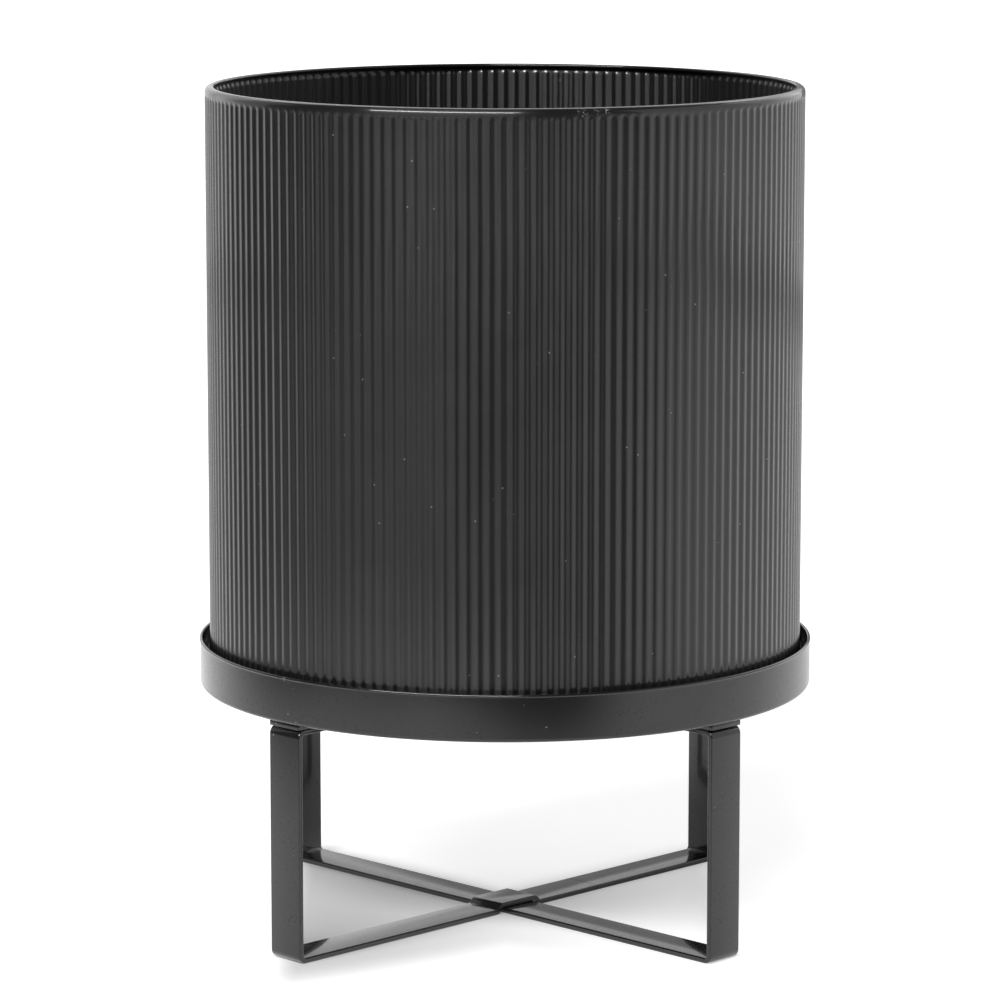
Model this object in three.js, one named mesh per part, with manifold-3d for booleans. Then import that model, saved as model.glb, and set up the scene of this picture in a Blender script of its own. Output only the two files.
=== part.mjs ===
// Umbrella stand: a fluted sheet-steel pot that stands loose in a round tray, which is screwed
// to two crossed frames bent from flat bar. Millimetres, +Z up. The origin is on the floor,
// under the pot's axis. The plain frame lies along X, the joggled frame along Y.
import * as THREE from 'three';
import { mergeVertices } from 'three/addons/utils/BufferGeometryUtils.js';
import Module from 'manifold-3d';

const wasm = await Module();
wasm.setup();

// ---------------------------------------------------------------- driving dimensions

// Round sheets that nest are faceted at the same angles, so they keep their clearances.
const POT_SEGMENTS = 84;
const TRAY_SEGMENTS = 60;
const HOLE_SEGMENTS = 10;

// Clearance between two sheets folded round each other.
const FOLD_CLEARANCE = 0.3;

// Flat-bar frames.
const BAR_WIDTH = 19;
const BAR_THICKNESS = 2.5;
const BAR_EDGE_RADIUS = 0.6;
const LEG_INSET = 2.4;
const FRAME_HEIGHT = 105.7;
const BEND_RADIUS = 1.5;
const BEND_STEPS = 4;
const JOGGLE_ANGLE = THREE.MathUtils.degToRad(50);
const JOGGLE_RADIUS = 0.5;
const JOGGLE_CLEARANCE = 0.8;
const BUTT_JOINT_OFFSET = 52;
const BUTT_JOINT_GAP = 0.3;

// Spacer plates between the frames and the tray.
const PLATE_LENGTH = 24;
const PLATE_THICKNESS = 2.4;
const PLATE_CORNER = 0.6;

// Tray.
const TRAY_PLAY = 3.3;
const TRAY_HEIGHT = 21.2;
const TRAY_SHEET = 0.7;
const TRAY_BEAD_RADIUS = 0.75;
const TRAY_BEAD_STEPS = 4;
const TRAY_BEAD_PROUD = 0.3;
const TRAY_BEND_RADIUS = 1.7;
const TRAY_BEND_STEPS = 2;
const TRAY_BEND_INNER_STEPS = 1;
const TRAY_FLANGE = 4;

// Screws that hold the tray, tapped into the frames.
const SCREW_RADIUS = 2;
const SCREW_HEAD_RADIUS = 4;
const SCREW_HEAD_HEIGHT = 2.4;
const SCREW_END_CHAMFER = 0.4;
const SCREW_CLEARANCE = 0.2;

// Pot.
const POT_RADIUS = 135.2;
const POT_HEIGHT = 271.6;
const POT_SHEET = 0.6;
const POT_SEAT_GAP = 0.3;
const COLLAR_HEIGHT = 2.8;
const FOOT_HEIGHT = 16;

// Flutes pressed into the pot's wall from outside.
const FLUTES_PER_FACET = 2;
const FLUTE_DEPTH = 0.46;
const FLUTE_FADE = 2.4;
const OUTER_FLUTE = [[1 / 8, 0], [3 / 8, 1], [5 / 8, 1], [7 / 8, 0]];
const INNER_FLUTE = [[0, 0], [3 / 8, 1], [5 / 8, 1]];

// Rim, turned inwards over a round shoulder to a small lip that is rolled under.
const RIM_WIDTH = 4.15;
const SHOULDER_RADIUS = 2.4;
const SHOULDER_STEPS = 3;
const SHOULDER_INNER_STEPS = 2;
const LIP_RADIUS = 0.75;
const LIP_STEPS = 2;
const LIP_INNER_STEPS = 1;

// Folded hem at the pot's foot, and the base that it holds.
const HEM_HEIGHT = 4.4;
const HEM_STEPS = 4;
const HEM_INNER_STEPS = 1;
const BASE_PANEL_INSET = 28;
const BASE_PANEL_SLOPE = 3;
const BASE_PANEL_RISE = 1.6;

// ---------------------------------------------------------------- derived heights and radii

const TRAY_BOTTOM = FRAME_HEIGHT + PLATE_THICKNESS;
const TRAY_RADIUS = POT_RADIUS + TRAY_PLAY + 2 * TRAY_BEAD_RADIUS;
const TRAY_TOP = TRAY_BOTTOM + TRAY_HEIGHT;
const TRAY_FLOOR = TRAY_BOTTOM + TRAY_SHEET;
const TRAY_WALL_RADIUS = TRAY_RADIUS - TRAY_BEAD_PROUD;
const TRAY_BEND_CENTRE_RADIUS = TRAY_WALL_RADIUS - TRAY_BEND_RADIUS;
const TRAY_BEND_CENTRE_HEIGHT = TRAY_BOTTOM + TRAY_BEND_RADIUS;
const FRAME_SPAN = 2 * (TRAY_RADIUS - LEG_INSET);
const POT_BOTTOM = TRAY_FLOOR + POT_SEAT_GAP;
const POT_TOP = POT_BOTTOM + POT_HEIGHT;
const POT_INNER_RADIUS = POT_RADIUS - POT_SHEET;
const FLUTE_COUNT = POT_SEGMENTS * FLUTES_PER_FACET;
const SCREW_CIRCLE = FRAME_SPAN / 2 - PLATE_LENGTH / 2;
const SHOULDER_CENTRE_RADIUS = POT_RADIUS - SHOULDER_RADIUS;
const SHOULDER_CENTRE_HEIGHT = POT_TOP - SHOULDER_RADIUS;
const LIP_CENTRE_RADIUS = POT_RADIUS - RIM_WIDTH + LIP_RADIUS;
const LIP_CENTRE_HEIGHT = POT_TOP - LIP_RADIUS;
const HEM_RADIUS = POT_SHEET * 1.5 + FOLD_CLEARANCE;
const FOOT_RADIUS = POT_RADIUS - FLUTE_DEPTH;
const HEM_CENTRE_RADIUS = FOOT_RADIUS - HEM_RADIUS;
const HEM_CENTRE_HEIGHT = POT_BOTTOM + HEM_RADIUS;
const HEM_TOP = POT_BOTTOM + HEM_HEIGHT;
const BASE_UNDERSIDE = HEM_TOP + 2 * FOLD_CLEARANCE;

// ---------------------------------------------------------------- materials and assembly

const stand = new THREE.Group();

function paint(color, roughness, metalness) {
  return new THREE.MeshStandardMaterial({ color, roughness, metalness });
}

function add(name, geometry, material) {
  const mesh = new THREE.Mesh(geometry, material);
  mesh.name = name;
  stand.add(mesh);
  return mesh;
}

const powderCoat = () => paint(0x1c1c1d, 0.42, 0.0);
const zincSteel = () => paint(0x9a9a98, 0.35, 1.0);

// ---------------------------------------------------------------- general helpers

// Points on an arc in the (radius, height) plane, from one angle to another.
function arc(centreX, centreY, radius, from, to, steps) {
  const points = [];
  for (let i = 0; i <= steps; i += 1) {
    const angle = from + ((to - from) * i) / steps;
    points.push(new THREE.Vector2(centreX + radius * Math.cos(angle), centreY + radius * Math.sin(angle)));
  }
  return points;
}

// A solid of revolution about Z from an outline in (radius, height), listed upwards on its outside.
// The outline starts and ends on the axis, or closes on itself.
function revolve(outline, segments) {
  const geometry = new THREE.LatheGeometry(outline, segments);
  geometry.rotateX(Math.PI / 2);
  return geometry;
}

// A flat outline in (x, y), extruded upwards from a height.
function extrudeUp(shape, bottom, height) {
  const geometry = new THREE.ExtrudeGeometry(shape, { depth: height, bevelEnabled: false });
  geometry.translate(0, 0, bottom);
  return geometry;
}

// Corners of a regular polygon about (x, y).
function polygon(x, y, radius, sides) {
  return arc(x, y, radius, 0, 2 * Math.PI, sides).slice(0, -1);
}

// The same clearance hole for the screws in every piece that they pass through.
function screwHole(x, y) {
  return new THREE.Path(polygon(x, y, SCREW_RADIUS + SCREW_CLEARANCE, HOLE_SEGMENTS));
}

function toManifold(geometry) {
  const bare = geometry.clone();
  bare.deleteAttribute('normal');
  bare.deleteAttribute('uv');
  const merged = mergeVertices(bare, 1e-4);
  return new wasm.Manifold(new wasm.Mesh({
    numProp: 3,
    vertProperties: new Float32Array(merged.attributes.position.array),
    triVerts: new Uint32Array(merged.index.array),
  }));
}

function fromManifold(solid) {
  const mesh = solid.getMesh();
  const geometry = new THREE.BufferGeometry();
  geometry.setAttribute('position', new THREE.BufferAttribute(mesh.vertProperties, 3));
  geometry.setIndex(new THREE.BufferAttribute(mesh.triVerts, 1));
  return geometry;
}

function cut(geometry, tools) {
  const result = tools.reduce((solid, tool) => solid.subtract(toManifold(tool)), toManifold(geometry));
  return fromManifold(result);
}

// A bit that drills a screw's clearance hole through everything between two heights.
function drill(x, y, bottom, top) {
  return extrudeUp(new THREE.Shape(screwHole(x, y).getPoints()), bottom, top - bottom);
}

// ---------------------------------------------------------------- bent flat bar

// Walks along the middle of a bar seen edge-on and gathers the outline of both its faces.
class BarPath {
  constructor(x, y) {
    this.position = new THREE.Vector2(x, y);
    this.heading = 0;
    this.left = [];
    this.right = [];
    this.mark();
  }

  mark() {
    const across = new THREE.Vector2(-Math.sin(this.heading), Math.cos(this.heading));
    this.left.push(this.position.clone().addScaledVector(across, BAR_THICKNESS / 2));
    this.right.push(this.position.clone().addScaledVector(across, -BAR_THICKNESS / 2));
  }

  run(length) {
    this.position.x += length * Math.cos(this.heading);
    this.position.y += length * Math.sin(this.heading);
    this.mark();
    return this;
  }

  // Turns by an angle, positive to the left, round an inner radius.
  bend(angle, innerRadius, steps) {
    const side = Math.sign(angle);
    const radius = innerRadius + BAR_THICKNESS / 2;
    const centre = this.position.clone();
    centre.x -= side * radius * Math.sin(this.heading);
    centre.y += side * radius * Math.cos(this.heading);
    const start = this.heading;
    for (let i = 1; i <= steps; i += 1) {
      this.heading = start + (angle * i) / steps;
      this.position.x = centre.x + side * radius * Math.sin(this.heading);
      this.position.y = centre.y - side * radius * Math.cos(this.heading);
      this.mark();
    }
    return this;
  }

  shape() {
    return new THREE.Shape([...this.right, ...this.left.reverse()]);
  }
}

// Length that one step of the joggle takes along the bar, and its sloping run.
const joggleBend = JOGGLE_RADIUS + BAR_THICKNESS / 2;
const joggleSlope = (BAR_THICKNESS - 2 * joggleBend * (1 - Math.cos(JOGGLE_ANGLE))) / Math.sin(JOGGLE_ANGLE);
const joggleLength = 2 * joggleBend * Math.sin(JOGGLE_ANGLE) + joggleSlope * Math.cos(JOGGLE_ANGLE);
const joggleFlat = BAR_WIDTH / 2 + JOGGLE_CLEARANCE;

// A step of one bar thickness to the left, and back again past the bar that it crosses.
function joggleOver(path) {
  for (const turn of [1, -1]) {
    path.bend(turn * JOGGLE_ANGLE, JOGGLE_RADIUS, 2);
    path.run(joggleSlope);
    path.bend(-turn * JOGGLE_ANGLE, JOGGLE_RADIUS, 2);
    if (turn > 0) path.run(2 * joggleFlat);
  }
}

// One closed frame, seen in its own plane. The bar starts and ends at a butt joint in its lower
// run. A joggled frame steps inwards at the middle of both its long runs.
function frameShape(joggled) {
  const corner = BEND_RADIUS + BAR_THICKNESS / 2;
  const halfRun = FRAME_SPAN / 2 - BAR_THICKNESS / 2 - corner;
  const upright = FRAME_HEIGHT - BAR_THICKNESS - 2 * corner;
  const toJoggle = halfRun - (joggled ? joggleFlat + joggleLength : 0);
  const path = new BarPath(BUTT_JOINT_OFFSET + BUTT_JOINT_GAP / 2, BAR_THICKNESS / 2);
  path.run(halfRun - BUTT_JOINT_OFFSET - BUTT_JOINT_GAP / 2);
  path.bend(Math.PI / 2, BEND_RADIUS, BEND_STEPS);
  path.run(upright);
  path.bend(Math.PI / 2, BEND_RADIUS, BEND_STEPS);
  path.run(toJoggle);
  if (joggled) joggleOver(path);
  path.run(toJoggle);
  path.bend(Math.PI / 2, BEND_RADIUS, BEND_STEPS);
  path.run(upright);
  path.bend(Math.PI / 2, BEND_RADIUS, BEND_STEPS);
  path.run(toJoggle);
  if (joggled) joggleOver(path);
  path.run(BUTT_JOINT_OFFSET - BUTT_JOINT_GAP / 2 - halfRun + toJoggle);
  return path.shape();
}

// The bar's long edges are broken by a small chamfer-like bevel.
function barSolid(shape) {
  const geometry = new THREE.ExtrudeGeometry(shape, {
    depth: BAR_WIDTH - 2 * BAR_EDGE_RADIUS,
    bevelEnabled: true,
    bevelSize: BAR_EDGE_RADIUS,
    bevelThickness: BAR_EDGE_RADIUS,
    bevelOffset: -BAR_EDGE_RADIUS,
    bevelSegments: 1,
  });
  geometry.translate(0, 0, BAR_EDGE_RADIUS - BAR_WIDTH / 2);
  geometry.rotateX(Math.PI / 2);
  return geometry;
}

function frameHoles(alongX) {
  return [-1, 1].map((side) => {
    const x = alongX ? side * SCREW_CIRCLE : 0;
    const y = alongX ? 0 : side * SCREW_CIRCLE;
    return drill(x, y, FRAME_HEIGHT - 2 * BAR_THICKNESS, FRAME_HEIGHT + BAR_THICKNESS);
  });
}

// The plain frame lies along X, with its butt joint in the upper run, under the tray.
function plainFrame() {
  const geometry = barSolid(frameShape(false));
  geometry.rotateX(Math.PI);
  geometry.translate(0, 0, FRAME_HEIGHT);
  return cut(geometry, frameHoles(true));
}

// The joggled frame lies along Y. It steps over the plain frame's lower run and under its upper one.
function joggledFrame() {
  const geometry = barSolid(frameShape(true));
  geometry.rotateZ(Math.PI / 2);
  return cut(geometry, frameHoles(false));
}

// ---------------------------------------------------------------- spacer plates and screws

// A plate as wide as the bar, with broken corners and its outer end flush with the leg.
function spacerPlate() {
  const outer = FRAME_SPAN / 2;
  const inner = outer - PLATE_LENGTH;
  const side = BAR_WIDTH / 2;
  const shape = new THREE.Shape([
    new THREE.Vector2(inner + PLATE_CORNER, -side),
    new THREE.Vector2(outer - PLATE_CORNER, -side),
    new THREE.Vector2(outer, PLATE_CORNER - side),
    new THREE.Vector2(outer, side - PLATE_CORNER),
    new THREE.Vector2(outer - PLATE_CORNER, side),
    new THREE.Vector2(inner + PLATE_CORNER, side),
    new THREE.Vector2(inner, side - PLATE_CORNER),
    new THREE.Vector2(inner, PLATE_CORNER - side),
  ]);
  shape.holes.push(screwHole(SCREW_CIRCLE, 0));
  return extrudeUp(shape, FRAME_HEIGHT, PLATE_THICKNESS);
}

// A low-headed screw from inside the tray, down through the floor and the plate into the frame's
// bar, where its end lies flush with the bar's underside.
function traySeatScrew() {
  const end = FRAME_HEIGHT - BAR_THICKNESS;
  const crown = SCREW_HEAD_HEIGHT / 2;
  const outline = [
    new THREE.Vector2(0, end),
    new THREE.Vector2(SCREW_RADIUS - SCREW_END_CHAMFER, end),
    new THREE.Vector2(SCREW_RADIUS, end + SCREW_END_CHAMFER),
    new THREE.Vector2(SCREW_RADIUS, TRAY_FLOOR),
    new THREE.Vector2(SCREW_HEAD_RADIUS, TRAY_FLOOR),
    new THREE.Vector2(SCREW_HEAD_RADIUS, TRAY_FLOOR + crown),
    new THREE.Vector2(SCREW_HEAD_RADIUS - crown, TRAY_FLOOR + SCREW_HEAD_HEIGHT),
    new THREE.Vector2(0, TRAY_FLOOR + SCREW_HEAD_HEIGHT),
  ];
  const geometry = revolve(outline, HOLE_SEGMENTS);
  geometry.translate(SCREW_CIRCLE, 0, 0);
  return geometry;
}

// ---------------------------------------------------------------- tray

// The tray's wall: a rolled band with a closed bead along its top edge and, at its foot, a round
// bend into a narrow flange that carries the floor.
function trayBand() {
  const beadRadius = TRAY_RADIUS - TRAY_BEAD_RADIUS;
  const beadHeight = TRAY_TOP - TRAY_BEAD_RADIUS;
  const inside = TRAY_WALL_RADIUS - TRAY_SHEET;
  const innerBend = TRAY_BEND_RADIUS - TRAY_SHEET;
  const beadDrop = (radius) => beadHeight - Math.sqrt(TRAY_BEAD_RADIUS ** 2 - (radius - beadRadius) ** 2);
  const footBend = (radius, from, to, steps) => (
    arc(TRAY_BEND_CENTRE_RADIUS, TRAY_BEND_CENTRE_HEIGHT, radius, from, to, steps)
  );
  const flangeEnd = new THREE.Vector2(TRAY_WALL_RADIUS - TRAY_FLANGE, TRAY_BOTTOM);
  return revolve([
    flangeEnd,
    ...footBend(TRAY_BEND_RADIUS, -Math.PI / 2, 0, TRAY_BEND_STEPS),
    new THREE.Vector2(TRAY_WALL_RADIUS, beadDrop(TRAY_WALL_RADIUS)),
    ...arc(beadRadius, beadHeight, TRAY_BEAD_RADIUS, 0, Math.PI, TRAY_BEAD_STEPS),
    new THREE.Vector2(inside, beadDrop(inside)),
    ...footBend(innerBend, 0, -Math.PI / 2, TRAY_BEND_INNER_STEPS),
    new THREE.Vector2(TRAY_WALL_RADIUS - TRAY_FLANGE, TRAY_FLOOR),
    flangeEnd,
  ], TRAY_SEGMENTS);
}

// The tray's flat floor. Its margin is stepped up by one sheet, so that it lies on the band's
// flange and the undersides of both are level.
function trayFloor() {
  const edge = TRAY_BEND_CENTRE_RADIUS - FOLD_CLEARANCE;
  const stepTop = TRAY_WALL_RADIUS - TRAY_FLANGE - FOLD_CLEARANCE;
  const stepFoot = stepTop - TRAY_SHEET;
  const mitre = TRAY_SHEET * Math.tan(Math.PI / 8);
  const disc = revolve([
    new THREE.Vector2(0, TRAY_BOTTOM),
    new THREE.Vector2(stepFoot, TRAY_BOTTOM),
    new THREE.Vector2(stepTop, TRAY_FLOOR),
    new THREE.Vector2(edge, TRAY_FLOOR),
    new THREE.Vector2(edge, TRAY_FLOOR + TRAY_SHEET),
    new THREE.Vector2(stepTop - mitre, TRAY_FLOOR + TRAY_SHEET),
    new THREE.Vector2(stepFoot - mitre, TRAY_FLOOR),
    new THREE.Vector2(0, TRAY_FLOOR),
  ], TRAY_SEGMENTS);
  const holes = [[1, 0], [0, 1], [-1, 0], [0, -1]].map(([x, y]) => (
    drill(x * SCREW_CIRCLE, y * SCREW_CIRCLE, TRAY_BOTTOM - TRAY_SHEET, TRAY_FLOOR + TRAY_SHEET)
  ));
  return cut(disc, holes);
}

// ---------------------------------------------------------------- pot

// Angles and radii of one plain ring of the pot's wall.
function plainRing(radius, height) {
  const ring = [];
  for (let i = 0; i < POT_SEGMENTS; i += 1) {
    ring.push({ angle: (2 * Math.PI * i) / POT_SEGMENTS, radius, height });
  }
  return ring;
}

// One fluted ring. A profile gives each corner of a flute as a share of the pitch and of the depth.
function flutedRing(crestRadius, height, profile) {
  const ring = [];
  const pitch = (2 * Math.PI) / FLUTE_COUNT;
  for (let i = 0; i < FLUTE_COUNT; i += 1) {
    profile.forEach(([along, deep]) => {
      ring.push({ angle: (i + along) * pitch, radius: crestRadius - deep * FLUTE_DEPTH, height });
    });
  }
  return ring;
}

function ringsFromOutline(outline) {
  return outline.map((point) => plainRing(point.x, point.y));
}

// The rim's outline from the collar over the shoulder and round the lip, at a depth in the sheet.
function rimOutline(depth, shoulderSteps, lipSteps) {
  const shoulder = arc(SHOULDER_CENTRE_RADIUS, SHOULDER_CENTRE_HEIGHT, SHOULDER_RADIUS - depth,
    0, Math.PI / 2, shoulderSteps);
  const lip = arc(LIP_CENTRE_RADIUS, LIP_CENTRE_HEIGHT, LIP_RADIUS - depth,
    Math.PI / 2, 1.5 * Math.PI, lipSteps);
  return [...shoulder, ...lip];
}

// The pot's wall in one closed skin, ring by ring: up the outside, over the rim, down the inside
// and round the hem.
function potWallRings() {
  const collar = POT_TOP - COLLAR_HEIGHT;
  const foot = POT_BOTTOM + FOOT_HEIGHT;
  const hemInner = HEM_RADIUS - POT_SHEET;
  return [
    ...ringsFromOutline([
      new THREE.Vector2(HEM_CENTRE_RADIUS - HEM_RADIUS, HEM_TOP),
      ...arc(HEM_CENTRE_RADIUS, HEM_CENTRE_HEIGHT, HEM_RADIUS, Math.PI, 2 * Math.PI, HEM_STEPS),
      new THREE.Vector2(FOOT_RADIUS, foot),
    ]),
    flutedRing(POT_RADIUS, foot + FLUTE_FADE, OUTER_FLUTE),
    flutedRing(POT_RADIUS, collar - FLUTE_FADE, OUTER_FLUTE),
    ...ringsFromOutline([
      new THREE.Vector2(POT_RADIUS, collar),
      ...rimOutline(0, SHOULDER_STEPS, LIP_STEPS),
      ...rimOutline(POT_SHEET, SHOULDER_INNER_STEPS, LIP_INNER_STEPS).reverse(),
      new THREE.Vector2(POT_INNER_RADIUS, collar),
    ]),
    flutedRing(POT_INNER_RADIUS, collar - FLUTE_FADE, INNER_FLUTE),
    flutedRing(POT_INNER_RADIUS, foot + FLUTE_FADE, INNER_FLUTE),
    ...ringsFromOutline([
      new THREE.Vector2(FOOT_RADIUS - POT_SHEET, foot),
      ...arc(HEM_CENTRE_RADIUS, HEM_CENTRE_HEIGHT, hemInner, 2 * Math.PI, Math.PI, HEM_INNER_STEPS),
      new THREE.Vector2(HEM_CENTRE_RADIUS - hemInner, HEM_TOP),
    ]),
  ];
}

// Triangles between two rings that may have different numbers of points, walked by angle.
function stitch(lower, upper, indices) {
  let i = 0;
  let j = 0;
  const angleAt = (ring, k) => ring.points[k % ring.points.length].angle
    + (k >= ring.points.length ? 2 * Math.PI : 0);
  const vertex = (ring, k) => ring.first + (k % ring.points.length);
  while (i < lower.points.length || j < upper.points.length) {
    const stepLower = j >= upper.points.length
      || (i < lower.points.length && angleAt(lower, i + 1) <= angleAt(upper, j + 1));
    if (stepLower) {
      indices.push(vertex(lower, i), vertex(lower, i + 1), vertex(upper, j));
      i += 1;
    } else {
      indices.push(vertex(lower, i), vertex(upper, j + 1), vertex(upper, j));
      j += 1;
    }
  }
}

function skinFromRings(rings) {
  const positions = [];
  const indices = [];
  const numbered = rings.map((points) => {
    const first = positions.length / 3;
    points.forEach(({ angle, radius, height }) => {
      positions.push(radius * Math.cos(angle), radius * Math.sin(angle), height);
    });
    return { points, first };
  });
  numbered.forEach((ring, k) => stitch(ring, numbered[(k + 1) % numbered.length], indices));
  const geometry = new THREE.BufferGeometry();
  geometry.setAttribute('position', new THREE.Float32BufferAttribute(positions, 3));
  geometry.setIndex(indices);
  return geometry;
}

// The pot's base: a disc with a raised middle, and a flange that hangs in the wall's hem.
function potBase() {
  const flangeOutside = FOOT_RADIUS - POT_SHEET - FOLD_CLEARANCE;
  const flangeInside = flangeOutside - POT_SHEET;
  const panel = flangeInside - BASE_PANEL_INSET;
  const slopeEnd = panel + BASE_PANEL_SLOPE;
  const raised = BASE_UNDERSIDE + BASE_PANEL_RISE;
  return revolve([
    new THREE.Vector2(0, raised),
    new THREE.Vector2(panel, raised),
    new THREE.Vector2(slopeEnd, BASE_UNDERSIDE),
    new THREE.Vector2(flangeInside, BASE_UNDERSIDE),
    new THREE.Vector2(flangeInside, HEM_CENTRE_HEIGHT),
    new THREE.Vector2(flangeOutside, HEM_CENTRE_HEIGHT),
    new THREE.Vector2(flangeOutside, BASE_UNDERSIDE + POT_SHEET),
    new THREE.Vector2(slopeEnd, BASE_UNDERSIDE + POT_SHEET),
    new THREE.Vector2(panel, raised + POT_SHEET),
    new THREE.Vector2(0, raised + POT_SHEET),
  ], POT_SEGMENTS);
}

// ---------------------------------------------------------------- assembly

add('pot_wall', skinFromRings(potWallRings()), powderCoat());
add('pot_base', potBase(), powderCoat());
add('tray_band', trayBand(), powderCoat());
add('tray_floor', trayFloor(), powderCoat());
add('frame_plain', plainFrame(), powderCoat());
add('frame_joggled', joggledFrame(), powderCoat());

// The four legs' tops, counted from +X towards +Y.
for (let leg = 0; leg < 4; leg += 1) {
  const turn = (leg * Math.PI) / 2;
  add(`spacer_plate_${leg + 1}`, spacerPlate(), powderCoat()).rotation.z = turn;
  add(`tray_screw_${leg + 1}`, traySeatScrew(), zincSteel()).rotation.z = turn;
}

export default stand;
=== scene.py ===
"""Umbrella stand: a fluted sheet-steel pot, loose in a round tray on two crossed flat-bar frames.

Metres, +Z up. The origin is on the floor under the pot's axis. The plain frame lies along X and
the joggled frame along Y.
"""

import math

import bmesh
import bpy
from mathutils import Matrix, Vector


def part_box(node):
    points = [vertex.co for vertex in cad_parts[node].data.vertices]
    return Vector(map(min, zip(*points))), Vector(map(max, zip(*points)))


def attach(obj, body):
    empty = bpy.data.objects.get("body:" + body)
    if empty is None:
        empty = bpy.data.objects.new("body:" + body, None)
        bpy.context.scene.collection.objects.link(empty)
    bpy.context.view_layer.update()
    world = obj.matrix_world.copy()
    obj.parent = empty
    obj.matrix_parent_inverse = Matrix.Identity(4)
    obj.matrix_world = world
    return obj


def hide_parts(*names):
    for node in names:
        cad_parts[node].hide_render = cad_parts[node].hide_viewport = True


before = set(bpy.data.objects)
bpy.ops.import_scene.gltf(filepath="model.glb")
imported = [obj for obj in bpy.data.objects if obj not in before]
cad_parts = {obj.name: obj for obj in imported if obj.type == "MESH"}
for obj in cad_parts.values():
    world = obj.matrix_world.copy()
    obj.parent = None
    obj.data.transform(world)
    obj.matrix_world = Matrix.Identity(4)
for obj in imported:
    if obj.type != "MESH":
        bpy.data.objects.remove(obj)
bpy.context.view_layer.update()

MM = 0.001
TINY = 1e-6
UP = Vector((0, 0, 1))

# ------------------------------------------------------------------ sizes read from the frame

pot_low, pot_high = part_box("pot_wall")
base_low, base_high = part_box("pot_base")
band_low, band_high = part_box("tray_band")
floor_low, floor_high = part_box("tray_floor")
plain_low, plain_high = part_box("frame_plain")
plate_low, plate_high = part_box("spacer_plate_1")
screw_low, screw_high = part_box("tray_screw_1")

# ------------------------------------------------------------------ sizes of the fine shape

FLUTES = 168
FLUTE_DEPTH = 0.57 * MM
FLUTE_COLUMNS = 8
FLUTE_END = 2.4 * MM
FLUTE_END_ROWS = 6
FLUTE_TURN = 0.62  # a share of one flute's pitch
POT_SHEET = 0.6 * MM
SHEET_SMOOTH_BELOW = math.radians(60)
COLLAR_HEIGHT = 2.8 * MM
FOOT_HEIGHT = 12.5 * MM
SHOULDER_RADIUS = 2.4 * MM
RIM_WIDTH = 4.15 * MM
LIP_RADIUS = 0.75 * MM
HEM_RADIUS = 1.2 * MM
HEM_HEIGHT = 4.4 * MM
HEM_STEPS = 5
SHOULDER_STEPS = 7
LIP_STEPS = 6

BASE_PANEL_RISE = 1.6 * MM
BASE_MARGIN = 29 * MM
BASE_PANEL_SLOPE = 3 * MM
BASE_CORNER_RADIUS = 0.9 * MM
BASE_CORNER_START = 1.2 * MM
BASE_CORNER_STEPS = 5
BASE_SEGMENTS = 336

TRAY_SHEET = 0.7 * MM
TRAY_BEAD_RADIUS = 0.75 * MM
TRAY_BEAD_PROUD = 0.3 * MM
TRAY_BEND_RADIUS = 1.7 * MM
TRAY_FLANGE = 4.0 * MM
FOLD_CLEARANCE = 0.3 * MM
TRAY_BEAD_STEPS = 16
TRAY_BEND_STEPS = 8
TRAY_INNER_BEND_STEPS = 6
TRAY_SEGMENTS = 360

BAR_WIDTH = 19.0 * MM
BAR_THICKNESS = 2.5 * MM
BAR_EDGE_RADIUS = 0.6 * MM
BAR_EDGE_STEPS = 4
BEND_RADIUS = 1.5 * MM
BEND_STEPS = 14
JOGGLE_ANGLE = math.radians(50)
JOGGLE_RADIUS = 0.5 * MM
JOGGLE_STEPS = 6
JOGGLE_CLEARANCE = 0.8 * MM
BUTT_OFFSET = 52 * MM
BUTT_GAP = 0.3 * MM

SCREW_SHANK_RADIUS = 2.0 * MM
SCREW_SOCKET_RADIUS = 1.5 * MM
SCREW_SOCKET_DEPTH = 1.2 * MM
SCREW_SOCKET_CONE = 0.2 * MM
SCREW_END_CHAMFER = 0.4 * MM
SCREW_HEAD_EDGE = 0.5 * MM
SCREW_DOME_RADIUS = 1.9 * MM
SCREW_DOME_START = 15
SCREW_DOME_STEPS = 6
SCREW_SEGMENTS = 36

PLATE_CORNER_RADIUS = 0.7 * MM
PLATE_EDGE_RADIUS = 0.2 * MM

POT_RADIUS = pot_high.x
FOOT_RADIUS = POT_RADIUS - FLUTE_DEPTH
TRAY_RADIUS = band_high.x
TRAY_WALL_RADIUS = TRAY_RADIUS - TRAY_BEAD_PROUD
FRAME_SPAN = plain_high.x - plain_low.x
FRAME_HEIGHT = plain_high.z


# ------------------------------------------------------------------ mesh helpers


def finished(bm, name, smooth_below=math.radians(32)):
    """Makes an object of a bmesh, with smooth shading except across its hard edges."""
    mesh = bpy.data.meshes.new(name)
    for face in bm.faces:
        face.smooth = True
    bm.to_mesh(mesh)
    bm.free()
    mesh.set_sharp_from_angle(angle=smooth_below)
    piece = bpy.data.objects.new(name, mesh)
    bpy.context.scene.collection.objects.link(piece)
    return piece


def arc(centre_r, centre_z, radius, start, end, steps):
    """Points on an arc in the (radius, height) plane; angles in degrees."""
    turns = [math.radians(start + (end - start) * i / steps) for i in range(steps + 1)]
    return [(centre_r + radius * math.cos(t), centre_z + radius * math.sin(t)) for t in turns]


def spun(points, steps, closed=False):
    """Spins an outline of (radius, height) points once round the axis, in a number of steps."""
    bm = bmesh.new()
    verts = [bm.verts.new((r, 0, z)) for r, z in points]
    chain = list(zip(verts, verts[1:]))
    if closed:
        chain.append((verts[-1], verts[0]))
    edges = [bm.edges.new(pair) for pair in chain]
    bmesh.ops.spin(
        bm, geom=verts + edges, cent=(0, 0, 0), axis=UP, angle=math.tau, steps=steps, use_merge=True
    )
    bmesh.ops.remove_doubles(bm, verts=bm.verts, dist=1e-7)
    face_outwards(bm)
    return bm


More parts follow.
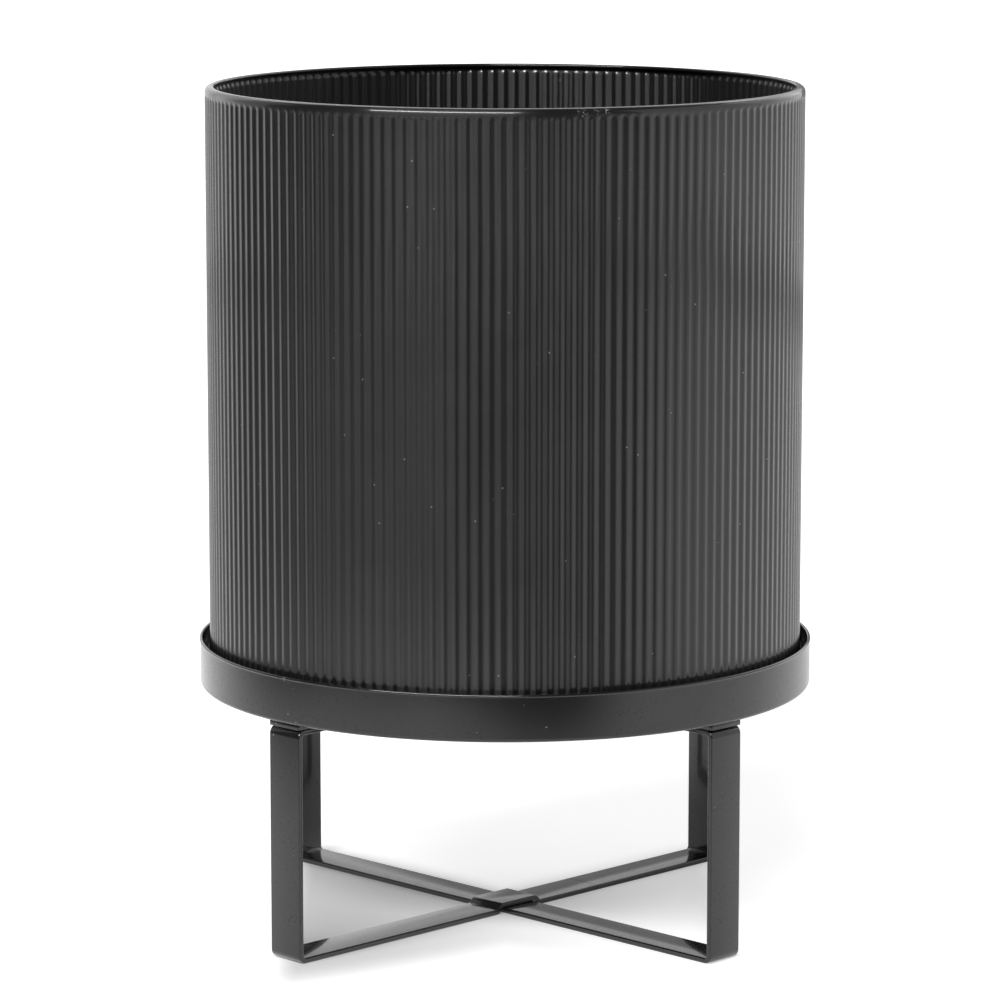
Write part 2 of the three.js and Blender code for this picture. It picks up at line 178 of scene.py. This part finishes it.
def face_outwards(bm):
    """Turns the faces of a spun skin outwards, judged by the face that lies farthest out."""
    bmesh.ops.recalc_face_normals(bm, faces=bm.faces)
    outermost = max(bm.faces, key=lambda face: face.calc_center_median().xy.length)
    if outermost.normal.xy.dot(outermost.calc_center_median().xy) < 0:
        bmesh.ops.reverse_faces(bm, faces=bm.faces)


def turn(bm, angle, axis="Z", centre=(0, 0, 0)):
    """Turns all of a bmesh about one axis through a centre."""
    bmesh.ops.rotate(bm, verts=bm.verts, cent=centre, matrix=Matrix.Rotation(angle, 3, axis))


def turn_to_leg(bm, leg):
    turn(bm, leg * math.pi / 2)


def thicken(piece, thickness):
    """Gives an open skin its sheet's thickness, inwards from its outer face."""
    sheet = piece.modifiers.new("sheet", "SOLIDIFY")
    sheet.thickness = thickness
    sheet.offset = -1
    return piece


# ------------------------------------------------------------------ the pot


def pot_outline():
    """The wall's outer skin, from the inside of its hem, round the foot and up to the rim's lip."""
    hem_r = FOOT_RADIUS - HEM_RADIUS
    hem_z = pot_low.z + HEM_RADIUS
    foot = pot_low.z + FOOT_HEIGHT
    collar = pot_high.z - COLLAR_HEIGHT
    rows = [FLUTE_END * i / FLUTE_END_ROWS for i in range(FLUTE_END_ROWS + 1)]
    outline = [(hem_r - HEM_RADIUS, pot_low.z + HEM_HEIGHT)]
    outline += arc(hem_r, hem_z, HEM_RADIUS, 180, 360, HEM_STEPS)
    outline += [(FOOT_RADIUS, foot + row) for row in rows]
    outline += [(POT_RADIUS, collar - FLUTE_END + row) for row in rows]
    shoulder = (POT_RADIUS - SHOULDER_RADIUS, pot_high.z - SHOULDER_RADIUS)
    lip = (POT_RADIUS - RIM_WIDTH + LIP_RADIUS, pot_high.z - LIP_RADIUS)
    outline += arc(*shoulder, SHOULDER_RADIUS, 0, 90, SHOULDER_STEPS)
    outline += arc(*lip, LIP_RADIUS, 90, 270, LIP_STEPS)
    return outline


def press_flutes(bm):
    """Presses the flutes into the plain wall.

    Each groove ends round under the collar, and each ridge ends round above the foot.
    """
    foot = pot_low.z + FOOT_HEIGHT
    collar = pot_high.z - COLLAR_HEIGHT
    for v in bm.verts:
        if not foot - TINY < v.co.z < collar + TINY:
            continue
        flute = math.atan2(v.co.y, v.co.x) / math.tau * FLUTES - FLUTE_TURN
        from_groove = abs(flute % 1 - 0.5) * 2
        above = max(0, (v.co.z - collar + FLUTE_END) / FLUTE_END)
        below = max(0, (foot + FLUTE_END - v.co.z) / FLUTE_END)
        groove = min(1, math.hypot(from_groove, above))
        ridge = min(1, math.hypot(1 - from_groove, below))
        depth = FLUTE_DEPTH * (0.5 + 0.5 * math.cos(math.pi * groove))
        if below > 0:
            depth = FLUTE_DEPTH * (0.5 - 0.5 * math.cos(math.pi * ridge))
        scale = (POT_RADIUS - depth) / math.hypot(v.co.x, v.co.y)
        v.co.x *= scale
        v.co.y *= scale


def make_pot_wall():
    bm = spun(pot_outline(), FLUTES * FLUTE_COLUMNS)
    press_flutes(bm)
    return thicken(finished(bm, "fluted_wall", SHEET_SMOOTH_BELOW), POT_SHEET)


def make_pot_base():
    """The bottom disc with its raised middle, and the flange that hangs in the hem."""
    flange = base_high.x
    level = base_high.z - BASE_PANEL_RISE
    panel = flange - BASE_MARGIN
    corner = (flange - BASE_CORNER_RADIUS, level - BASE_CORNER_RADIUS)
    outline = [(flange, base_low.z), (flange, level - BASE_CORNER_START)]
    outline += arc(*corner, BASE_CORNER_RADIUS, 0, 90, BASE_CORNER_STEPS)
    outline += [(panel + BASE_PANEL_SLOPE, level), (panel, base_high.z), (0, base_high.z)]
    disc = finished(spun(outline, BASE_SEGMENTS), "bottom_disc", SHEET_SMOOTH_BELOW)
    return thicken(disc, POT_SHEET)


# ------------------------------------------------------------------ the tray


def make_tray_band():
    """The rolled wall with its bead, and the bend at its foot that carries the floor."""
    bead_r = TRAY_RADIUS - TRAY_BEAD_RADIUS
    bead_z = band_high.z - TRAY_BEAD_RADIUS
    bend_r = TRAY_WALL_RADIUS - TRAY_BEND_RADIUS
    bend_z = band_low.z + TRAY_BEND_RADIUS
    outside = TRAY_WALL_RADIUS - bead_r
    leave = math.degrees(math.acos(outside / TRAY_BEAD_RADIUS))
    meet = 180 + math.degrees(math.acos((TRAY_SHEET - outside) / TRAY_BEAD_RADIUS))
    flange_end = TRAY_WALL_RADIUS - TRAY_FLANGE
    outline = [(flange_end, band_low.z)]
    outline += arc(bend_r, bend_z, TRAY_BEND_RADIUS, -90, 0, TRAY_BEND_STEPS)
    outline += arc(bead_r, bead_z, TRAY_BEAD_RADIUS, -leave, meet, TRAY_BEAD_STEPS)
    outline += arc(bend_r, bend_z, TRAY_BEND_RADIUS - TRAY_SHEET, 0, -90, TRAY_INNER_BEND_STEPS)
    outline += [(flange_end, band_low.z + TRAY_SHEET)]
    return finished(spun(outline, TRAY_SEGMENTS, closed=True), "rolled_band")


def make_tray_floor():
    """The flat floor, its margin stepped up onto the band's flange.

    It has no holes. The screws' shanks go through the sheet under their heads.
    """
    edge = floor_high.x
    step = TRAY_WALL_RADIUS - TRAY_FLANGE - FOLD_CLEARANCE
    mitre = TRAY_SHEET * math.tan(math.pi / 8)
    low = floor_low.z
    face = low + TRAY_SHEET
    high = floor_high.z
    outline = [(0, low), (step - TRAY_SHEET, low), (step, face), (edge, face), (edge, high)]
    outline += [(step - mitre, high), (step - TRAY_SHEET - mitre, face), (0, face)]
    return finished(spun(outline, TRAY_SEGMENTS), "stepped_floor")


# ------------------------------------------------------------------ the flat-bar frames


class BentBar:
    """A flat bar with rounded edges, swept along runs and bends in the XZ plane."""

    def __init__(self, x, z):
        self.bm = bmesh.new()
        self.place = Vector((x, 0, z))
        self.heading = 0.0
        made = bmesh.ops.create_grid(self.bm, x_segments=1, y_segments=1, size=0.5)
        bmesh.ops.scale(self.bm, verts=made["verts"], vec=(BAR_THICKNESS, BAR_WIDTH, 1))
        bmesh.ops.bevel(
            self.bm,
            geom=made["verts"],
            affect="VERTICES",
            offset=BAR_EDGE_RADIUS,
            offset_type="OFFSET",
            segments=BAR_EDGE_STEPS,
            profile=0.5,
            material=-1,
        )
        turn(self.bm, math.pi / 2, "Y")
        bmesh.ops.translate(self.bm, verts=self.bm.verts, vec=self.place)
        self.ring = list(self.bm.edges)

    def run(self, length):
        """Goes straight on by a length."""
        step = Vector((math.cos(self.heading), 0, math.sin(self.heading))) * length
        made = bmesh.ops.extrude_edge_only(self.bm, edges=self.ring)["geom"]
        verts = [g for g in made if isinstance(g, bmesh.types.BMVert)]
        bmesh.ops.translate(self.bm, verts=verts, vec=step)
        edges = [g for g in made if isinstance(g, bmesh.types.BMEdge)]
        self.ring = [edge for edge in edges if all(v in verts for v in edge.verts)]
        self.place += step

    def bend(self, angle, inner_radius, steps):
        """Turns by an angle, positive upwards from +X, round an inner radius."""
        radius = math.copysign(inner_radius + BAR_THICKNESS / 2, angle)
        across = Vector((-math.sin(self.heading), 0, math.cos(self.heading)))
        centre = self.place + across * radius
        made = bmesh.ops.spin(
            self.bm,
            geom=self.ring,
            cent=centre,
            axis=(0, -1, 0),
            angle=angle,
            steps=steps,
            use_merge=False,
        )["geom_last"]
        self.ring = [g for g in made if isinstance(g, bmesh.types.BMEdge)]
        self.place = centre + Matrix.Rotation(-angle, 3, "Y") @ (self.place - centre)
        self.heading += angle

    def joggle(self):
        """Steps inwards by one thickness, runs over the other frame's bar and steps back."""
        level = joggle_flat()
        for side in (1, -1):
            self.bend(side * JOGGLE_ANGLE, JOGGLE_RADIUS, JOGGLE_STEPS)
            self.run(joggle_slope())
            self.bend(-side * JOGGLE_ANGLE, JOGGLE_RADIUS, JOGGLE_STEPS)
            if side > 0:
                self.run(2 * level)

    def closed_ends(self):
        """Closes the bar's two ends and gives its bmesh."""
        bmesh.ops.holes_fill(self.bm, edges=[e for e in self.bm.edges if e.is_boundary], sides=0)
        bmesh.ops.recalc_face_normals(self.bm, faces=self.bm.faces)
        return self.bm


def joggle_slope():
    """The straight length between the two bends of one step."""
    bend = JOGGLE_RADIUS + BAR_THICKNESS / 2
    return (BAR_THICKNESS - 2 * bend * (1 - math.cos(JOGGLE_ANGLE))) / math.sin(JOGGLE_ANGLE)


def joggle_flat():
    """Half the length that runs level over the other bar."""
    return BAR_WIDTH / 2 + JOGGLE_CLEARANCE


def joggle_length():
    """The length along the bar that one step takes."""
    bend = JOGGLE_RADIUS + BAR_THICKNESS / 2
    return 2 * bend * math.sin(JOGGLE_ANGLE) + joggle_slope() * math.cos(JOGGLE_ANGLE)


def make_frame(name, joggled):
    """One closed frame. Its bar starts and ends at a butt joint in its lower run."""
    corner = BEND_RADIUS + BAR_THICKNESS / 2
    half_run = FRAME_SPAN / 2 - BAR_THICKNESS / 2 - corner
    upright = FRAME_HEIGHT - BAR_THICKNESS - 2 * corner
    stop = joggle_flat() + joggle_length() if joggled else 0
    bar = BentBar(BUTT_OFFSET + BUTT_GAP / 2, BAR_THICKNESS / 2)
    bar.run(half_run - BUTT_OFFSET - BUTT_GAP / 2)
    bar.bend(math.pi / 2, BEND_RADIUS, BEND_STEPS)
    bar.run(upright)
    bar.bend(math.pi / 2, BEND_RADIUS, BEND_STEPS)
    bar.run(half_run - stop)
    if joggled:
        bar.joggle()
    bar.run(half_run - stop)
    bar.bend(math.pi / 2, BEND_RADIUS, BEND_STEPS)
    bar.run(upright)
    bar.bend(math.pi / 2, BEND_RADIUS, BEND_STEPS)
    bar.run(half_run - stop)
    if joggled:
        bar.joggle()
    bar.run(BUTT_OFFSET - BUTT_GAP / 2 - stop)
    bm = bar.closed_ends()
    if joggled:
        turn(bm, math.pi / 2)
    else:
        turn(bm, math.pi, "X", centre=(0, 0, FRAME_HEIGHT / 2))
    return finished(bm, name)


# ------------------------------------------------------------------ plates and screws


def bevel_edges(bm, edges, radius, steps):
    bmesh.ops.bevel(
        bm, geom=edges, affect="EDGES", offset=radius, segments=steps, profile=0.5, material=-1
    )


def make_plate(leg):
    """A thin plate with rounded corners and eased rims."""
    bm = bmesh.new()
    size = plate_high - plate_low
    middle = (plate_low + plate_high) / 2

    def rise(edge):
        return abs((edge.verts[0].co - edge.verts[1].co).z)

    bmesh.ops.create_cube(bm, size=1)
    bmesh.ops.scale(bm, verts=bm.verts, vec=size)
    bevel_edges(bm, [e for e in bm.edges if rise(e) > size.z / 2], PLATE_CORNER_RADIUS, 3)
    level = [e for e in bm.edges if rise(e) < size.z / 2]
    bevel_edges(bm, [e for e in level if e.calc_face_angle() > 1], PLATE_EDGE_RADIUS, 2)
    bmesh.ops.translate(bm, verts=bm.verts, vec=middle)
    turn_to_leg(bm, leg)
    return finished(bm, f"seat_plate_{leg + 1}")


def make_screw(leg):
    """A low domed socket screw. Its socket is spun round and then drawn out to a hexagon."""
    head_r = (screw_high.x - screw_low.x) / 2
    head_z = floor_low.z + TRAY_SHEET
    socket_z = screw_high.z - SCREW_SOCKET_DEPTH
    centre = (screw_low.x + screw_high.x) / 2
    dome = (head_r - SCREW_DOME_RADIUS, head_z + SCREW_HEAD_EDGE)
    outline = [(0, screw_low.z), (SCREW_SHANK_RADIUS - SCREW_END_CHAMFER, screw_low.z)]
    outline += [(SCREW_SHANK_RADIUS, screw_low.z + SCREW_END_CHAMFER)]
    outline += [(SCREW_SHANK_RADIUS, head_z), (head_r, head_z), (head_r, head_z + SCREW_HEAD_EDGE)]
    outline += arc(*dome, SCREW_DOME_RADIUS, SCREW_DOME_START, 90, SCREW_DOME_STEPS)
    outline += [(SCREW_SOCKET_RADIUS, screw_high.z), (SCREW_SOCKET_RADIUS, socket_z)]
    outline += [(0, socket_z - SCREW_SOCKET_CONE)]
    bm = spun(outline, SCREW_SEGMENTS)
    for v in bm.verts:
        on_wall = abs(v.co.xy.length - SCREW_SOCKET_RADIUS) < TINY
        if on_wall and v.co.z > socket_z - TINY:
            from_flat = math.atan2(v.co.y, v.co.x) % (math.pi / 3) - math.pi / 6
            v.co.x /= math.cos(from_flat)
            v.co.y /= math.cos(from_flat)
    bmesh.ops.translate(bm, verts=bm.verts, vec=(centre, 0, 0))
    turn_to_leg(bm, leg)
    return finished(bm, f"socket_screw_{leg + 1}")


# ------------------------------------------------------------------ shader expressions


class Shade:
    """A socket that adds its own Math nodes when it is used in an expression."""

    def __init__(self, tree, socket):
        self.tree = tree
        self.socket = socket

    def math(self, operation, *values):
        inputs = dict(enumerate(values))
        return Maker(self.tree).node("ShaderNodeMath", {"operation": operation}, inputs)["Value"]

    def __add__(self, other):
        return self.math("ADD", self, other)

    def __radd__(self, other):
        return self.math("ADD", other, self)

    def __sub__(self, other):
        return self.math("SUBTRACT", self, other)

    def __rsub__(self, other):
        return self.math("SUBTRACT", other, self)

    def __mul__(self, other):
        return self.math("MULTIPLY", self, other)

    def __rmul__(self, other):
        return self.math("MULTIPLY", other, self)

    def between(self, low, high):
        """0 below low, 1 above high, smooth between."""
        settings = {"interpolation_type": "SMOOTHSTEP"}
        inputs = {"Value": self, "From Min": low, "From Max": high}
        return Maker(self.tree).node("ShaderNodeMapRange", settings, inputs)["Result"]

    def peak(self, middle, half_width):
        """1 at the middle, smoothly down to 0 at half a width to either side."""
        rising = self.between(middle - half_width, middle)
        return rising * (1 - self.between(middle, middle + half_width))

    def size(self):
        return self.math("ABSOLUTE", self)

    def root(self):
        return self.math("SQRT", self)

    def degrees_from(self, other):
        """The direction in degrees, counted from the other one towards this one."""
        return self.math("ARCTAN2", self, other) * (180 / math.pi)


class Outputs:
    """A node's outputs by name, as Shades."""

    def __init__(self, tree, node):
        self.tree = tree
        self.node = node

    def __getitem__(self, name):
        return Shade(self.tree, self.node.outputs[name])


class Maker:
    """Adds nodes to one tree."""

    def __init__(self, tree):
        self.tree = tree

    def node(self, kind, settings=None, inputs=None):
        made = self.tree.nodes.new(kind)
        for name, value in (settings or {}).items():
            setattr(made, name, value)
        for name, value in (inputs or {}).items():
            if isinstance(value, Shade):
                self.tree.links.new(value.socket, made.inputs[name])
            else:
                made.inputs[name].default_value = value
        return Outputs(self.tree, made)

    def mix(self, amount, first, second):
        """A colour mix of two colours by an amount."""
        made = self.tree.nodes.new("ShaderNodeMix")
        made.data_type = "RGBA"
        for index, value in ((0, amount), (6, first), (7, second)):
            if isinstance(value, Shade):
                self.tree.links.new(value.socket, made.inputs[index])
            else:
                made.inputs[index].default_value = value
        return Shade(self.tree, made.outputs[2])


# The scales are in cells to the metre.
COAT_COLOUR = (0.008, 0.008, 0.0084)
DUST_COLOUR = (0.25, 0.25, 0.245, 1)
PEBBLE_SCALE = 900.0
SWELL_SCALE = 45.0
DUST_SCALE = 160.0
PIT_SCALE = 420.0
CRUMB_SCALE = 1100.0
MOTTLE_SCALE = 300.0


def new_material(name):
    material = bpy.data.materials.new(name)
    material.use_nodes = True
    material.node_tree.nodes.clear()
    return material, Maker(material.node_tree)


def finish_material(maker, settings):
    surface = maker.node("ShaderNodeBsdfPrincipled", {}, settings)
    maker.node("ShaderNodeOutputMaterial", {}, {"Surface": surface["BSDF"]})


def noise(maker, place, scale, detail, roughness=0.5):
    inputs = {"Vector": place, "Scale": scale, "Detail": detail, "Roughness": roughness}
    return maker.node("ShaderNodeTexNoise", {}, inputs)["Fac"]


def dots(maker, place, scale, core, rim):
    """Scattered dots: 1 within a core of each cell's middle, smoothly down to 0 at a rim."""
    inputs = {"Vector": place, "Scale": scale}
    away = maker.node("ShaderNodeTexVoronoi", {"feature": "F1"}, inputs)["Distance"]
    return 1 - away.between(core, rim)


def rubbed(maker, place, worn):
    """Crumbled patches at the worn places, each a point and how far it spreads."""
    crumbs = noise(maker, place, CRUMB_SCALE, 2.0).between(0.57, 0.63)
    marks = []
    for point, spread in worn:
        inputs = {0: place, 1: point}
        away = maker.node("ShaderNodeVectorMath", {"operation": "DISTANCE"}, inputs)["Value"]
        marks.append((1 - away.between(spread * 0.3, spread)) * crumbs)
    return marks


def satin_coat(name, drawn=0.0, worn=()):
    """Satin black powder coat: a smooth skin over a duller layer that may be drawn lengthwise.

    It carries a little dust and fine pits, and it is rubbed through at the worn places.
    """
    material, maker = new_material(name)
    place = maker.node("ShaderNodeTexCoord")["Object"]
    pebble = noise(maker, place, PEBBLE_SCALE, 3.0, 0.6)
    swell = noise(maker, place, SWELL_SCALE, 3.0, 0.55)
    speck = dots(maker, place, DUST_SCALE, 0.04, 0.08) * swell.between(0.55, 0.6)
    pits = dots(maker, place, PIT_SCALE, 0.1, 0.22) * swell.between(0.46, 0.54)
    dark, light = ((*[part * share for part in COAT_COLOUR], 1) for share in (0.85, 1.2))
    tone = maker.mix(swell.between(0.3, 0.75) * 0.6, dark, light)
    for mark in rubbed(maker, place, worn) if worn else ():
        speck = speck + mark
    settings = {
        "Base Color": maker.mix(speck * 0.6, tone, DUST_COLOUR),
        "Roughness": (0.13 + 0.15 * drawn) + swell * 0.05 + pebble * 0.06 + speck * 0.3,
        "IOR": 1.4,
        "Anisotropic": drawn,
        "Anisotropic Rotation": 0.25,
        "Coat Weight": 1 - (pits * 0.7 + pebble.between(0.5, 0.7) * 0.25),
        "Coat Roughness": 0.07,
        "Coat IOR": 1.42,
    }
    relief = {"Strength": 0.06, "Distance": 0.0002, "Height": pebble * 0.7 + swell * 0.6}
    settings["Normal"] = maker.node("ShaderNodeBump", {}, relief)["Normal"]
    finish_material(maker, settings)
    return material


def zinc(name):
    """Zinc-plated steel, slightly mottled."""
    material, maker = new_material(name)
    place = maker.node("ShaderNodeTexCoord")["Object"]
    mottle = noise(maker, place, MOTTLE_SCALE, 4.0)
    tone = maker.mix(mottle, (0.42, 0.42, 0.41, 1), (0.6, 0.6, 0.58, 1))
    finish_material(maker, {"Base Color": tone, "Metallic": 1.0, "Roughness": 0.28 + mottle * 0.16})
    return material


# ------------------------------------------------------------------ assembly

# Worn places: a point and how far it spreads, in metres.
RIM_CHIPS = (
    ((0.1153, -0.0693, 0.3792), 0.003),
    ((0.1185, -0.0637, 0.3795), 0.0022),
    ((0.1204, -0.0600, 0.3793), 0.0026),
)
TRAY_SCRATCHES = (
    ((0.0036, -0.1396, 0.1288), 0.0035),
    ((0.0085, -0.1393, 0.1245), 0.0012),
)

pot_coat = satin_coat("satin_black_sheet", drawn=0.95, worn=RIM_CHIPS)
tray_coat = satin_coat("satin_black_tray", worn=TRAY_SCRATCHES)
bar_coat = satin_coat("satin_black_bar")
zinc_plate = zinc("zinc_plate")


def fit(piece, material, slot, body, *nodes):
    """Gives a piece its material, sets it on its body and in its CAD part's place; its slot is not
    used.
    """
    piece.data.materials.clear()
    piece.data.materials.append(material)
    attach(piece, body)
    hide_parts(*nodes)


fit(make_pot_wall(), pot_coat, "pot_coating", "pot", "pot_wall")
fit(make_pot_base(), pot_coat, "pot_coating", "pot", "pot_base")
fit(make_tray_band(), tray_coat, "tray_coating", "stand", "tray_band")
fit(make_tray_floor(), tray_coat, "tray_coating", "stand", "tray_floor")
fit(make_frame("plain_frame", False), bar_coat, "bar_coating", "stand", "frame_plain")
fit(make_frame("joggled_frame", True), bar_coat, "bar_coating", "stand", "frame_joggled")
for leg in range(4):
    fit(make_plate(leg), bar_coat, "bar_coating", "stand", f"spacer_plate_{leg + 1}")
    fit(make_screw(leg), zinc_plate, "fastener_zinc", "stand", f"tray_screw_{leg + 1}")

# ------------------------------------------------------------------ floor, light and camera

VIEW_TURN = math.radians(-45)
MIDDLE = (0, 0, 0.22)

CAMERA_PLACE = (1.4786, -1.4818, 0.5403)
CAMERA_TILT = math.radians(80.526)
CAMERA_LENS = 167.12
CAMERA_SENSOR = 36

SWEEP_FRONT = -3.2
SWEEP_BACK = 2.4
SWEEP_BEND_RADIUS = 0.8
SWEEP_BEND_STEPS = 12
SWEEP_TOP = 2.6
SWEEP_HALF_WIDTH = 3.4

PAPER_ROUGHNESS = 0.95
PAPER_DARKER = (0.78, 0.78, 0.78, 1)
PAPER_LIGHTER = (0.82, 0.82, 0.82, 1)
# Paper colour in the painted shadow between the legs, for the camera.
PAPER_PAINTED_SHADOW = (0.7, 0.7, 0.7, 1)
# Colour of the painted dark patches that only reflections see.
PAINTED_DARK_COLOUR = (0.02, 0.02, 0.02, 1)
WHITE = (1, 1, 1, 1)
BLACK = (0, 0, 0, 1)
NEAR_GLOW = (0.64, 0.64, 0.64, 1)
GLOW_REACH = (0.5, 1.4)
CAMERA_LIFT = 1.0
MIRRORED_LIFT = 0.25
WORLD_LIGHT = 0.06

# Painted dark reflections: dark patches painted on the floor, which only reflections see: bearing
# and half width in degrees, strength, the reach in metres over which it comes in, the reach over
# which it goes, and how far it goes.
PAINTED_DARK_FLOOR_PATCHES = (
    (13, 46, 0.98, (0.08, 0.78), (1.6, 2.3), 0.3),
    (-80, 62, 0.78, (0.1, 1.0), (1.6, 2.3), 0.0),
    (-32, 36, 0.5, (0.1, 1.0), (1.6, 2.3), 0.0),
    (-12, 40, 0.62, (0.6, 1.15), (1.5, 2.2), 1.0),
)
# Strength of the painted dark patch low on the backdrop's right, which only reflections see.
PAINTED_DARK_BACKDROP_PATCH = 0.66

# Name, bearing in degrees, distance, height, width, tallness and brightness.
LAMPS = (
    ("right_softbox", 80, 1.6, 0.8, 2.0, 1.6, 0.65),
    ("right_back_softbox", 132, 1.6, 0.8, 1.4, 1.6, 0.68),
    ("left_back_softbox", -120, 1.7, 0.8, 1.4, 1.6, 0.4),
    ("key_softbox", -25, 1.9, 1.65, 2.2, 0.42, 26),
    ("back_softbox", 180, 1.6, 1.9, 2.4, 0.8, 1.5),
)


def from_view(degrees, distance, height):
    """A place by its direction from the camera's side, counted to the picture's right."""
    bearing = VIEW_TURN + math.radians(degrees)
    return Vector((distance * math.cos(bearing), distance * math.sin(bearing), height))


def make_sweep():
    """A paper sweep: level under the stand, then curved up behind it."""
    bend_start = SWEEP_BACK - SWEEP_BEND_RADIUS
    curve = arc(bend_start, SWEEP_BEND_RADIUS, SWEEP_BEND_RADIUS, -90, 0, SWEEP_BEND_STEPS)
    rail = [(SWEEP_FRONT, 0), *curve, (SWEEP_BACK, SWEEP_TOP)]
    bm = bmesh.new()
    verts = [bm.verts.new((x, -SWEEP_HALF_WIDTH, z)) for x, z in rail]
    edges = [bm.edges.new(pair) for pair in zip(verts, verts[1:])]
    made = bmesh.ops.extrude_edge_only(bm, edges=edges)["geom"]
    far = [g for g in made if isinstance(g, bmesh.types.BMVert)]
    bmesh.ops.translate(bm, verts=far, vec=(0, 2 * SWEEP_HALF_WIDTH, 0))
    bm.normal_update()
    if sum(face.normal.z for face in bm.faces) < 0:
        bmesh.ops.reverse_faces(bm, faces=bm.faces)
    turn(bm, VIEW_TURN + math.pi)
    sweep = finished(bm, "paper_sweep")
    sweep.data.materials.append(paper())


def painted_floor_shadow(ahead, rightwards):
    """A painted shadow: the grey painted on the floor between the legs, weaker to the right."""
    side = rightwards.size()
    shade = (1 - side.between(0.09, 0.112)) * (ahead + side).between(-0.045, 0.0)
    shade = shade * (1 - (ahead - side * 0.6).between(0.05, 0.115))
    return shade * (1 - rightwards.between(-0.08, 0.08) * 0.6)


def painted_dark_reflections(ahead, rightwards, height, reach):
    """Painted dark reflections: dark patches on the floor, and one low on the backdrop's right."""
    bearing = rightwards.degrees_from(ahead)
    painted_patches = (0 - ahead).between(1.5, 1.7) * rightwards.between(-0.18, 0.0)
    painted_patches = painted_patches * (1 - height.between(0.62, 0.78)) * PAINTED_DARK_BACKDROP_PATCH
    for middle, half_width, strength, near, far, drop in PAINTED_DARK_FLOOR_PATCHES:
        painted_patch = bearing.peak(middle, half_width) * strength * reach.between(*near)
        painted_patches = painted_patches + painted_patch * (1 - reach.between(*far) * drop)
    return painted_patches.between(0, 1)


def paper():
    """White paper, lifted for the camera except in its painted shadow, and clear from behind.

    Reflections see it dimmer, with painted dark patches that stand in for dark surroundings.
    """
    material, maker = new_material("studio_paper")
    path = maker.node("ShaderNodeLightPath")
    place = maker.node("ShaderNodeTexCoord")["Object"]
    spot = maker.node("ShaderNodeSeparateXYZ", {}, {"Vector": place})
    ahead = (spot["X"] - spot["Y"]) * math.sqrt(0.5)
    rightwards = (spot["X"] + spot["Y"]) * math.sqrt(0.5)
    reach = (ahead * ahead + rightwards * rightwards).root()
    shade = painted_floor_shadow(ahead, rightwards)
    white = maker.mix(noise(maker, place, 3.0, 2.0), PAPER_DARKER, PAPER_LIGHTER)
    glow = maker.mix(reach.between(*GLOW_REACH), NEAR_GLOW, WHITE)
    # The camera's lift is taken away in the painted shadow.
    glow = maker.mix(shade, glow, BLACK)
    painted_dark_paper = maker.mix(painted_dark_reflections(ahead, rightwards, spot["Z"], reach), white, PAINTED_DARK_COLOUR)
    plain = {"Base Color": white, "Roughness": PAPER_ROUGHNESS}
    seen = maker.node("ShaderNodeBsdfPrincipled", {}, plain)["BSDF"]
    # The camera sees the painted shadow; reflections see the painted dark patches.
    for ray, tone, lift, strength in (
        ("Is Camera Ray", maker.mix(shade, white, PAPER_PAINTED_SHADOW), glow, CAMERA_LIFT),
        ("Is Glossy Ray", painted_dark_paper, painted_dark_paper, MIRRORED_LIFT),
    ):
        settings = {"Base Color": tone, "Roughness": PAPER_ROUGHNESS}
        settings |= {"Emission Color": lift, "Emission Strength": strength}
        lifted = maker.node("ShaderNodeBsdfPrincipled", {}, settings)["BSDF"]
        seen = maker.node("ShaderNodeMixShader", {}, {0: path[ray], 1: seen, 2: lifted})["Shader"]
    behind = path["Is Camera Ray"] * maker.node("ShaderNodeNewGeometry")["Backfacing"]
    clear = maker.node("ShaderNodeBsdfTransparent")["BSDF"]
    seen = maker.node("ShaderNodeMixShader", {}, {0: behind, 1: seen, 2: clear})["Shader"]
    maker.node("ShaderNodeOutputMaterial", {}, {"Surface": seen})
    return material


def make_world():
    """White for the camera, and a faint even light for everything else."""
    world = bpy.data.worlds.new("studio")
    bpy.context.scene.world = world
    world.use_nodes = True
    world.node_tree.nodes.clear()
    maker = Maker(world.node_tree)
    seen = maker.node("ShaderNodeLightPath")["Is Camera Ray"]
    light, white = (
        maker.node("ShaderNodeBackground", {}, {"Color": WHITE, "Strength": strength})["Background"]
        for strength in (WORLD_LIGHT, 1.0)
    )
    both = maker.node("ShaderNodeMixShader", {}, {0: seen, 1: light, 2: white})["Shader"]
    maker.node("ShaderNodeOutputWorld", {}, {"Surface": both})


def softbox(name, degrees, distance, height, width, tall, brightness):
    """A rectangular lamp that faces the stand. Its power follows from its brightness and area."""
    data = bpy.data.lights.new(name, "AREA")
    data.shape = "RECTANGLE"
    data.size = width
    data.size_y = tall
    data.energy = brightness * math.pi * width * tall
    lamp = bpy.data.objects.new(name, data)
    lamp.location = from_view(degrees, distance, height)
    lamp.rotation_euler = (Vector(MIDDLE) - lamp.location).to_track_quat("-Z", "Y").to_euler()
    bpy.context.scene.collection.objects.link(lamp)


def make_camera():
    data = bpy.data.cameras.new("camera")
    data.lens = CAMERA_LENS
    data.sensor_width = CAMERA_SENSOR
    data.clip_start = 0.05
    camera = bpy.data.objects.new("camera", data)
    camera.location = CAMERA_PLACE
    camera.rotation_euler = (CAMERA_TILT, 0, -VIEW_TURN)
    bpy.context.scene.collection.objects.link(camera)
    bpy.context.scene.camera = camera


make_sweep()
make_world()
for lamp in LAMPS:
    softbox(*lamp)
make_camera()
bpy.context.scene.view_settings.view_transform = "Standard"
